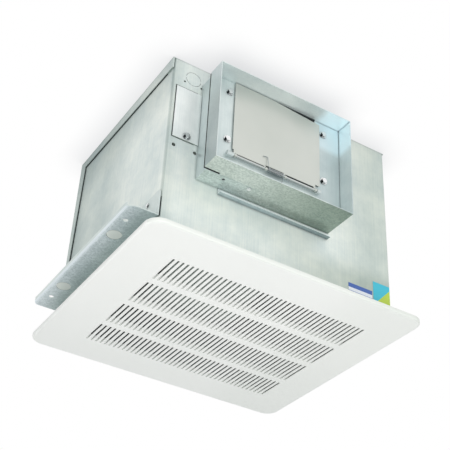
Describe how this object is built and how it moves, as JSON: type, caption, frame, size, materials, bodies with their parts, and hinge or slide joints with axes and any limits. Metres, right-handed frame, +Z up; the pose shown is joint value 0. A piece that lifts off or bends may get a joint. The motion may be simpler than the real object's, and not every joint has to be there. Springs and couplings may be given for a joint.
{
  "type": "ceiling exhaust fan",
  "caption": "Box-shaped ceiling exhaust fan with a slotted pull-down grille, a side discharge collar with a sprung damper flap, two fixing brackets and an inner blower.",
  "frame": {"origin": "the point of the grille's flat underside below the middle of the housing, in the plane of that face", "axes": "+Z up into the ceiling, the discharge collar points along -Y, +X to the right of someone who looks at the collar"},
  "size_m": [0.4206, 0.363, 0.288],
  "materials": {
    "galvanised_steel": "galvanised sheet with a faint spangle",
    "galvanised_bracket": "duller galvanised sheet",
    "grille_paint": "white powder coat",
    "flap_steel": "warm grey coat",
    "zinc_fasteners": "bright zinc",
    "spring_steel": "bare spring wire",
    "bush_nylon": "off-white nylon",
    "foam_gasket": "closed-cell foam",
    "liner_felt": "dark acoustic felt",
    "black_plastic": "moulded",
    "lead_jacket": "smooth cable jacket",
    "earth_green": "green passivated screw",
    "isolator_rubber": "soft black rubber",
    "motor_paint": "dark enamel",
    "motor_casting": "die cast",
    "bearing_bronze": "sintered",
    "lamination_steel": "lacquered laminations",
    "wheel_steel": "galvanised strip",
    "shaft_steel": "ground",
    "label_blue": "printed film, bare",
    "label_cyan": "printed film, bare"
  },
  "bodies": {
    "housing": {"clip_catches": "galvanised_steel", "housing_wrap": "galvanised_steel", "housing_back_top": "galvanised_steel", "seam_tape": "foam_gasket", "liner_top": "liner_felt", "liner_back": "liner_felt", "collar_adapter": "galvanised_steel", "collar_gasket": "foam_gasket", "damper_frame": "galvanised_steel", "damper_seal": "foam_gasket", "collar_ledge": "galvanised_steel", "hinge_bushes": "bush_nylon", "damper_frame_screws": "zinc_fasteners", "collar_rivets": "zinc_fasteners", "wiring_box": "galvanised_steel", "wiring_cover": "galvanised_steel", "wiring_cover_screw": "zinc_fasteners", "ground_screw": "earth_green", "receptacle": "black_plastic", "motor_plug": "black_plastic", "motor_lead": "lead_jacket", "bracket_left": "galvanised_bracket", "bracket_right": "galvanised_bracket", "bracket_rivets": "zinc_fasteners", "scroll_wrap": "galvanised_steel", "scroll_side_left": "galvanised_steel", "scroll_side_right": "galvanised_steel", "inlet_ring_left": "galvanised_steel", "inlet_ring_right": "galvanised_steel", "motor_bracket": "galvanised_bracket", "motor_isolators": "isolator_rubber", "motor_bracket_screws": "zinc_fasteners", "motor_shell": "motor_paint", "motor_bell_inner": "motor_casting", "motor_bell_outer": "motor_casting", "motor_bearings": "bearing_bronze", "motor_stator": "lamination_steel", "rating_label": "label_blue", "square_label": "label_cyan"},
    "grille": {"grille_panel": "grille_paint", "grille_deflectors": "grille_paint", "grille_clips": "spring_steel"},
    "damper": {"damper_flap": "flap_steel", "damper_rod": "zinc_fasteners", "damper_spring": "spring_steel"},
    "wheel": {"wheel_blades": "wheel_steel", "wheel_rings": "wheel_steel", "wheel_disc": "wheel_steel", "wheel_hub": "motor_casting", "motor_shaft": "shaft_steel", "motor_rotor": "lamination_steel"}
  },
  "joints": [
    {"name": "wheel_spin", "type": "hinge", "parent": "housing", "child": "wheel", "pos_m": [-0.0303, 0.016, 0.1423], "axis": [1, 0, 0], "continuous": true},
    {"name": "damper_hinge", "type": "hinge", "parent": "housing", "child": "damper", "pos_m": [-0.035, -0.1706, 0.1395], "axis": [1, 0, 0], "range_deg": [0, 80], "stiffness_Nm_per_rad": 0.05, "springref_deg": -34.38, "deforming": ["damper_spring"]},
    {"name": "grille_drop", "type": "slide", "parent": "housing", "child": "grille", "axis": [0, 0, -1], "range_m": [0, 0.06]}
  ]
}
